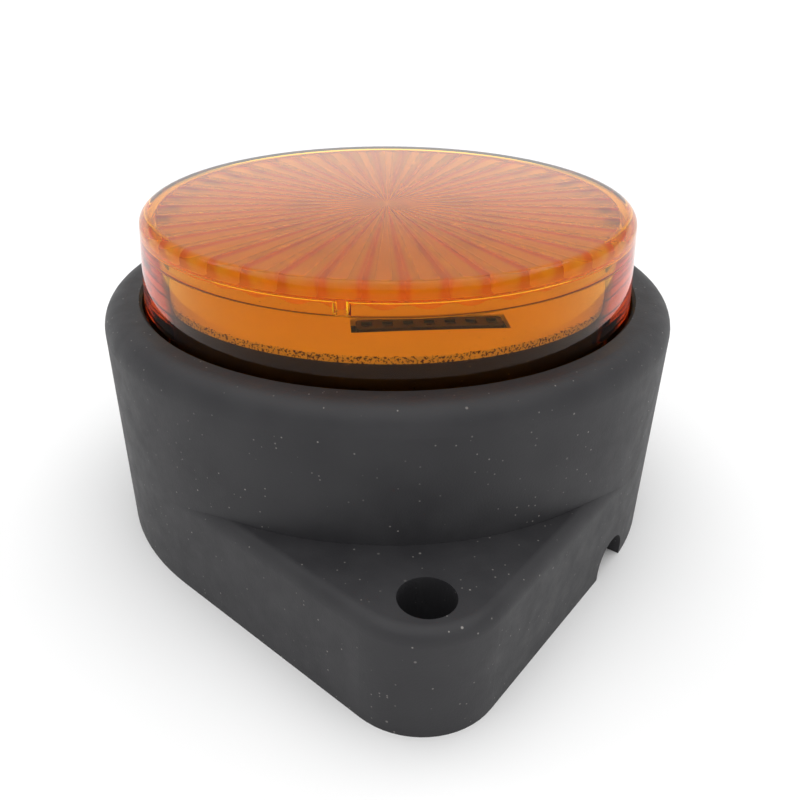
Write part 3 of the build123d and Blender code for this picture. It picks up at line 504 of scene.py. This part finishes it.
def lens_rows():
    """Rings from the middle of the top, over the wall, up the bore to the flutes' middle.

    Each ring is a function of the angle that gives radius and height. Rings close beside the
    rounded corners keep the long faces between them straight in shading."""
    rows = []

    def plain(radius, height):
        rows.append(lambda angle: (radius, height))

    def beside_rib(radius, height):
        """Ring that gives way to the index rib."""
        rows.append(lambda angle: (min(upper_bore(angle), radius), height))

    def corner(radius, height, size, start, end, steps=6):
        """Arc of a radius about a centre, from one angle to another, all in the section."""
        for step in range(steps + 1):
            turn = math.radians(start + (end - start) * step / steps)
            plain(radius + size * math.cos(turn), height + size * math.sin(turn))

    draft = math.atan2(LENS_RADIUS - LENS_TOP_RADIUS, LENS_TOP - RIM_HEIGHT)
    reach = LENS_ROUND * math.tan((math.pi / 2 - draft) / 2)
    centre = LENS_TOP_RADIUS - reach
    for share in TOP_SHARES:
        plain(share * centre, LENS_TOP)
    corner(centre, LENS_TOP - LENS_ROUND, LENS_ROUND, 90, math.degrees(draft), 14)
    high = LENS_TOP - LENS_ROUND * (1 - math.sin(draft))
    for share in WALL_SHARES:
        height = high + (RIM_HEIGHT - high) * share
        plain(LENS_RADIUS - (height - RIM_HEIGHT) * math.tan(draft), height)
    plain(LENS_RADIUS, RIM_HEIGHT)
    plain(LENS_RADIUS, RIM_HEIGHT - SUPPORT)

    foot = LENS_FOOT_ROUND
    plain(LENS_RADIUS, LENS_BOTTOM + foot + SUPPORT)
    corner(LENS_RADIUS - foot, LENS_BOTTOM + foot, foot, 0, -90)
    corner(LENS_BORE + foot, LENS_BOTTOM + foot, foot, 270, 180)
    plain(LENS_BORE, LENS_BOTTOM + foot + SUPPORT)
    plain(LENS_BORE, LUG_BOTTOM - 2 * SUPPORT)
    plain(LENS_BORE, LUG_BOTTOM - SUPPORT)
    for height in (LUG_BOTTOM, LUG_TOP):
        rows.append(lambda angle, height=height: (lug_bore(angle), height))
    plain(LENS_BORE, LUG_TOP + SUPPORT)
    plain(LENS_BORE, LUG_TOP + 2 * SUPPORT)
    plain(LENS_BORE, LENS_STEP - STEP_ROUND - SUPPORT)
    corner(LENS_BORE + STEP_ROUND, LENS_STEP - STEP_ROUND, STEP_ROUND, 180, 90)

    for turn in ROUND_TURNS:
        beside_rib(LENS_UPPER_BORE - STEP_ROUND * (1 - math.sin(turn)),
                   LENS_STEP + STEP_ROUND * (1 - math.cos(turn)))
    beside_rib(LENS_UPPER_BORE, LENS_STEP + STEP_ROUND + SUPPORT)
    beside_rib(LENS_UPPER_BORE, FLUTE_CEILING - STEP_ROUND - SUPPORT)
    for turn in ROUND_TURNS:
        beside_rib(LENS_UPPER_BORE - STEP_ROUND * (1 - math.cos(turn)),
                   FLUTE_CEILING - STEP_ROUND * (1 - math.sin(turn)))

    plain(FLUTE_RADIUS + SUPPORT, FLUTE_CEILING)
    plain(FLUTE_RADIUS, FLUTE_CEILING)
    for share in END_SHARES:
        rows.append(lambda angle, share=share: (
            FLUTE_RADIUS, FLUTE_CEILING - share * (flute_drop(FLUTE_RADIUS, angle) - FLUTE_EDGE)))
    for share in FLUTE_SHARES:
        radius = (FLUTE_RADIUS - FLUTE_EDGE) * share
        rows.append(lambda angle, radius=radius: (
            radius, FLUTE_CEILING - flute_drop(radius, angle)))
    plain(FLUTE_HUB, FLUTE_CEILING - FLUTE_DEPTH)
    return rows


def ring_mesh(name, rows, steps, first):
    """Closed turned shape whose rings may vary with the angle, from a first angle on."""
    shape = bmesh.new()
    rings = []
    for row in rows:
        ring = []
        for step in range(steps):
            angle = first + 2 * math.pi * step / steps
            radius, height = row(angle)
            ring.append(shape.verts.new((radius * math.cos(angle), radius * math.sin(angle),
                                         height)))
        rings.append(ring)
    for upper, lower in zip(rings, rings[1:]):
        for step in range(steps):
            after = (step + 1) % steps
            shape.faces.new((upper[step], lower[step], lower[after], upper[after]))
    for ring, last in ((rings[0], False), (rings[-1], True)):
        middle = shape.verts.new((0, 0, sum(vert.co.z for vert in ring) / steps))
        for step in range(steps):
            corners = (ring[step], middle, ring[(step + 1) % steps])
            shape.faces.new(corners[::-1] if last else corners)
    bmesh.ops.recalc_face_normals(shape, faces=shape.faces)
    mesh = bpy.data.meshes.new(name)
    shape.to_mesh(mesh)
    shape.free()
    return mesh


lens_mesh = ring_mesh("lens_cap", lens_rows(), FLUTE_COUNT * FLUTE_STEPS, FLUTE_FIRST_VALLEY)
lens_mesh.shade_smooth()
lens_mesh.set_sharp_from_angle(angle=SHARP_EDGE)
lens_cap = add_object("lens_cap", lens_mesh)
dress(lens_cap, amber_glass())
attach(lens_cap, "lens_cap")
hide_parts("lens")


# ---------------------------------------------------------------- floor, lights and camera
def make_floor():
    """Plain pale paper that the lamp stands on."""
    shader = Shader("floor_paper", roughness=0.7)
    shader.link(shader.mix(shader.span(shader.noise(60 * MM), 0.3, 0.7), (0.9, 0.9, 0.9),
                           (0.92, 0.92, 0.92)), shader.main.inputs["Base Color"])
    shape = bmesh.new()
    bmesh.ops.create_grid(shape, x_segments=2, y_segments=2, size=FLOOR_REACH)
    mesh = bpy.data.meshes.new("floor")
    shape.to_mesh(mesh)
    shape.free()
    floor = add_object("floor", mesh)
    dress(floor, shader.material)


def make_world():
    """Bright walls all round up to a low height, and a dimmer room above them."""
    world = bpy.data.worlds.new("studio")
    world.use_nodes = True
    nodes = world.node_tree.nodes
    links = world.node_tree.links
    split = nodes.new("ShaderNodeSeparateXYZ")
    links.new(nodes.new("ShaderNodeTexCoord").outputs["Generated"], split.inputs["Vector"])
    height = nodes.new("ShaderNodeMapRange")
    height.interpolation_type = "SMOOTHSTEP"
    for name, elevation in zip(("From Min", "From Max"), WALL_ELEVATION):
        height.inputs[name].default_value = math.sin(math.radians(elevation))
    height.inputs["To Min"].default_value = WALL_BRIGHTNESS
    height.inputs["To Max"].default_value = ROOM_BRIGHTNESS
    links.new(split.outputs["Z"], height.inputs["Value"])
    links.new(height.outputs["Result"], nodes["Background"].inputs["Strength"])
    nodes["Background"].inputs["Color"].default_value = (1.0, 1.0, 1.0, 1.0)
    bpy.context.scene.world = world


def make_light():
    """One large square softbox straight above, facing down."""
    light = bpy.data.lights.new("top_softbox", "AREA")
    light.size = TOP_SIZE
    light.energy = TOP_POWER
    add_object("top_softbox", light).location = (0, 0, TOP_HEIGHT)


def make_camera():
    """Camera beside the front ear, looking down on the lens."""
    data = bpy.data.cameras.new("camera")
    data.lens = CAMERA_LENS
    data.sensor_width = CAMERA_SENSOR
    data.shift_x, data.shift_y = CAMERA_SHIFT
    data.clip_start, data.clip_end = CAMERA_CLIP
    camera = add_object("camera", data)
    around = Matrix.Rotation(-CAMERA_SIDE, 4, "Z")
    place = Matrix.Translation((0, -CAMERA_DISTANCE, CAMERA_HEIGHT))
    pan = Matrix.Rotation(-CAMERA_PAN, 4, "Z")
    tilt = Matrix.Rotation(math.pi / 2 - CAMERA_TILT, 4, "X")
    roll = Matrix.Rotation(CAMERA_ROLL, 4, "Z")
    camera.matrix_world = around @ place @ pan @ tilt @ roll
    bpy.context.scene.camera = camera


make_floor()
make_world()
make_light()
make_camera()
bpy.context.scene.view_settings.view_transform = "Standard"

# Light crosses the lens's flutes and walls many times
bpy.context.scene.cycles.max_bounces = 32
bpy.context.scene.cycles.glossy_bounces = 24
bpy.context.scene.cycles.transmission_bounces = 24
